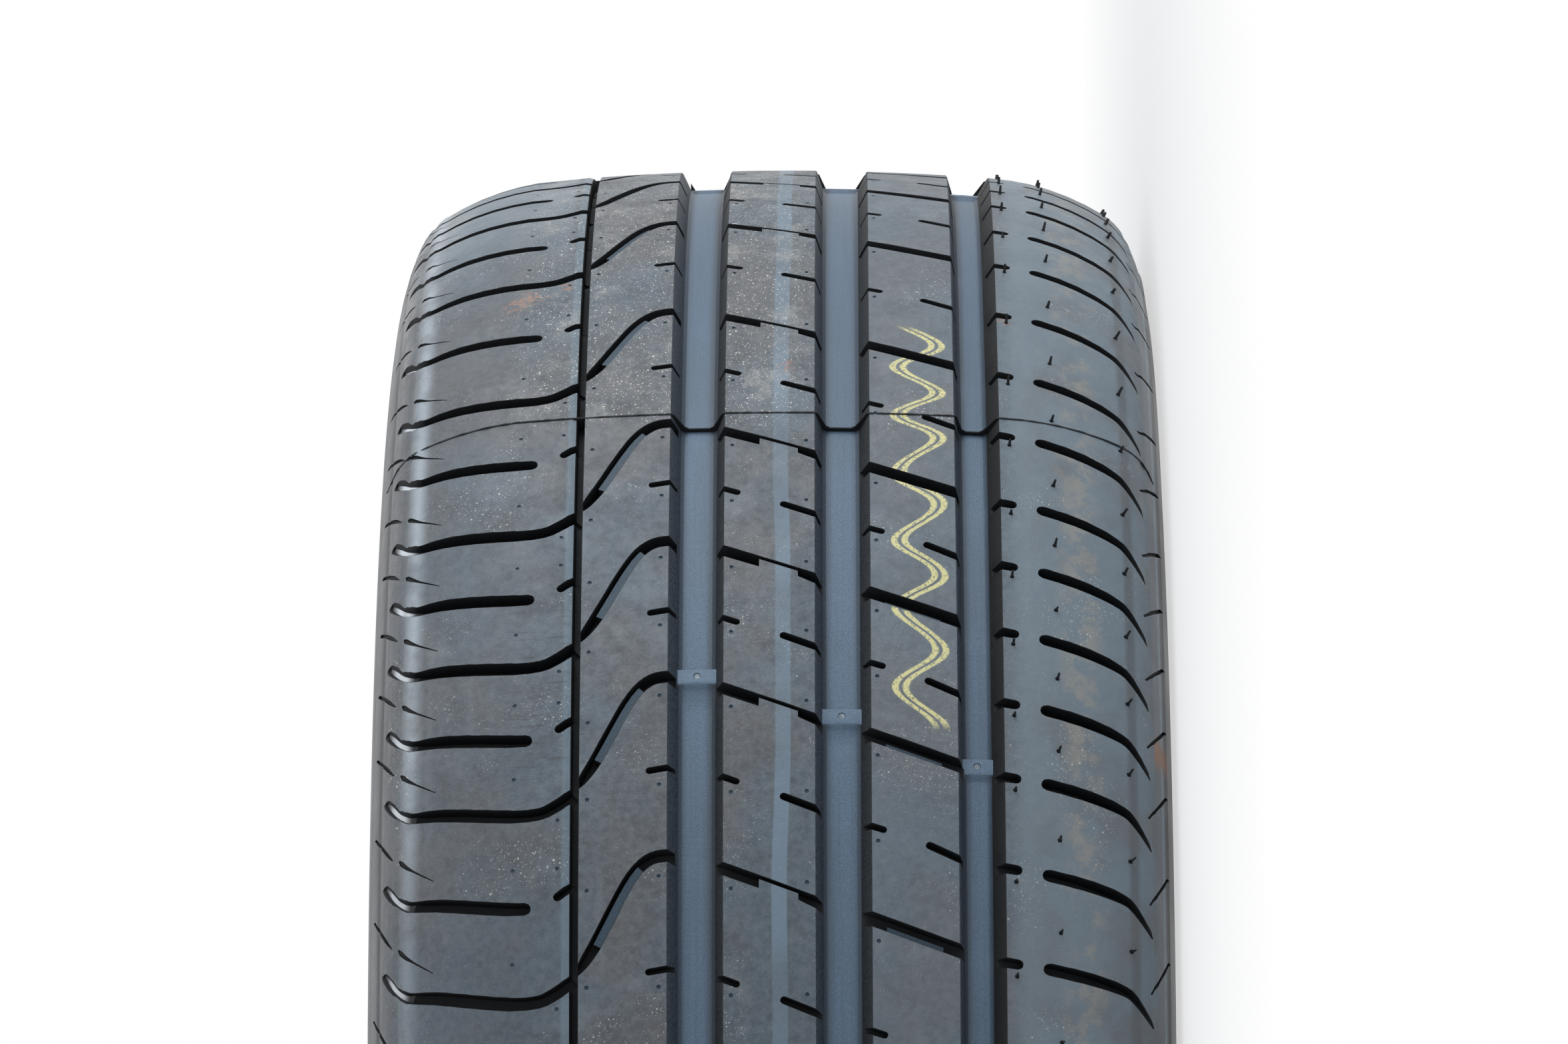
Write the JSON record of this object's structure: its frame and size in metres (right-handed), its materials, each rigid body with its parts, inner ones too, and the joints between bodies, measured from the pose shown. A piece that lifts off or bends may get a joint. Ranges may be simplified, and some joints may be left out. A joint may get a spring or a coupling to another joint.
{
  "type": "car tyre",
  "caption": "Low-profile radial car tyre with ribbed and slotted tread, plain sidewalls, an open cavity and bead seats for a wheel rim.",
  "frame": {"origin": "centre of the tyre, where the spin axis meets the middle plane of the tread", "axes": "+Z along the spin axis, towards the shoulder with the fine groove; the tyre lies on its other sidewall"},
  "size_m": [0.653, 0.653, 0.248],
  "materials": {
    "tyre": "matte moulded rubber"
  },
  "bodies": {
    "root": {"tyre": "tyre"}
  },
  "joints": []
}
